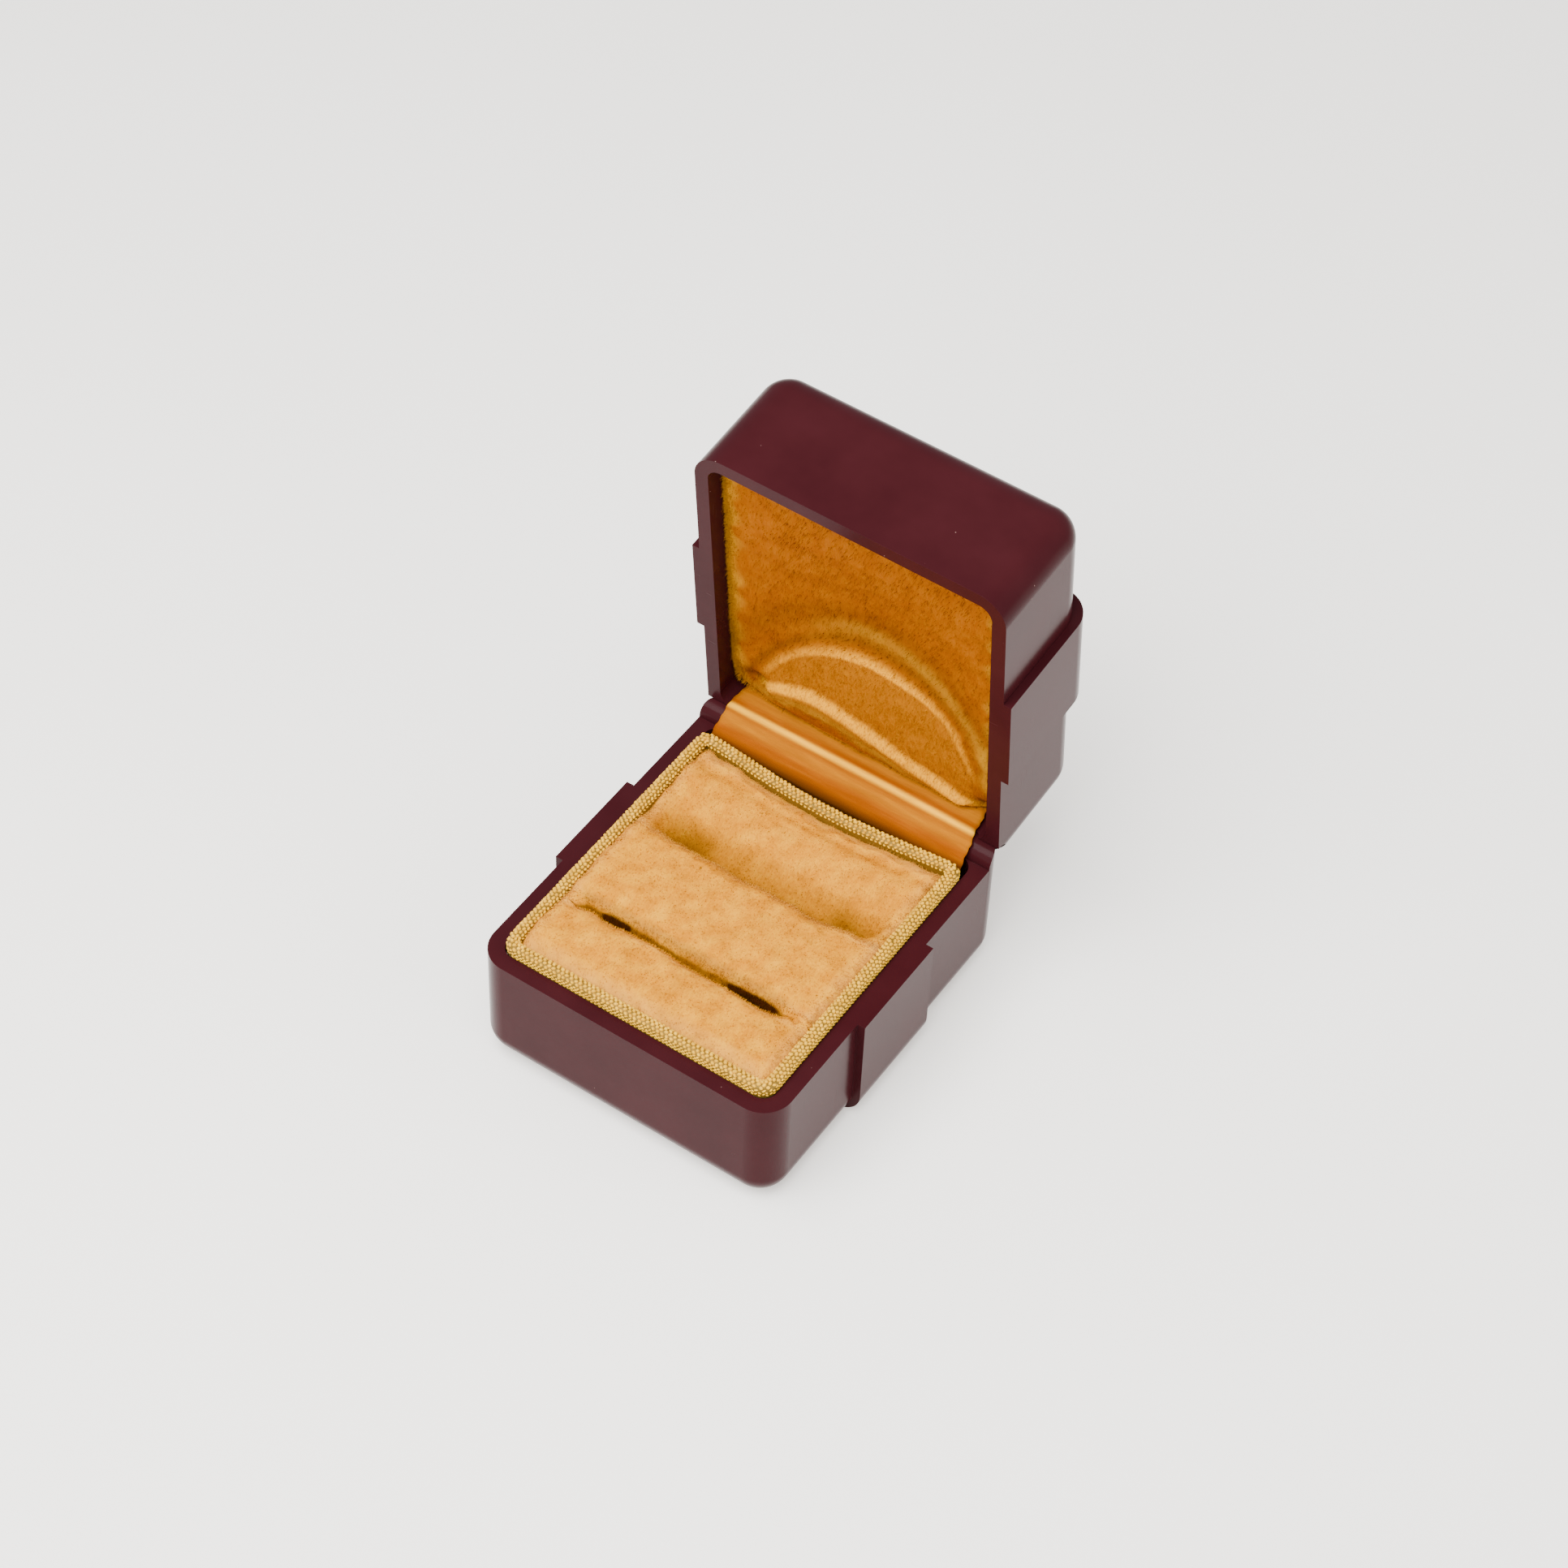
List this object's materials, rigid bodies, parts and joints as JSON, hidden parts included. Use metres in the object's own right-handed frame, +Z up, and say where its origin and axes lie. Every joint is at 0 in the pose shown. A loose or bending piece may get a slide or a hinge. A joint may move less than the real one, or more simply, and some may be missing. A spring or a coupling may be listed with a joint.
{
  "type": "ring box",
  "caption": "Hinged moulded ring box with raised side bands, a slotted velvet ring pad edged in braid, a padded lid and a satin-covered snap-spring hinge, drawn open.",
  "frame": {"origin": "centre of the base's flat underside", "axes": "+Z up out of the underside, +X to the right along the front edge, +Y towards the hinge side; drawn with the lid open on its stop"},
  "size_m": [0.0472, 0.0693, 0.0707],
  "materials": {
    "maroon_plastic": "dark maroon moulded plastic, polished, fine wear on the edges",
    "spring_steel": "bright rolled spring steel",
    "gold_satin": "golden satin, bright sheen across the weave",
    "pad_card": "plain pressed card",
    "cotton_wadding": "off-white cotton wadding",
    "peach_velvet": "peach cotton velvet, dusty at the edges",
    "gold_braid": "woven gold gimp braid",
    "gold_plush": "golden plush with a directional pile"
  },
  "bodies": {
    "base": {"base_shell": "maroon_plastic", "snap_spring": "spring_steel", "hinge_strip": "gold_satin", "pad_base_card": "pad_card", "pad_wall_card": "pad_card", "front_roll": "cotton_wadding", "middle_roll": "cotton_wadding", "rear_roll": "cotton_wadding", "ring_pad_velvet": "peach_velvet", "braid_trim": "gold_braid"},
    "lid": {"lid_shell": "maroon_plastic", "lid_pad_card": "pad_card", "lid_pad_wadding": "cotton_wadding", "lid_pad_velvet": "gold_plush"}
  },
  "joints": [
    {"name": "lid_hinge", "type": "hinge", "parent": "base", "child": "lid", "pos_m": [0, 0.0244, 0.0186], "axis": [1, 0, 0], "range_deg": [0, 84.5], "deforming": ["snap_spring", "hinge_strip"]}
  ]
}
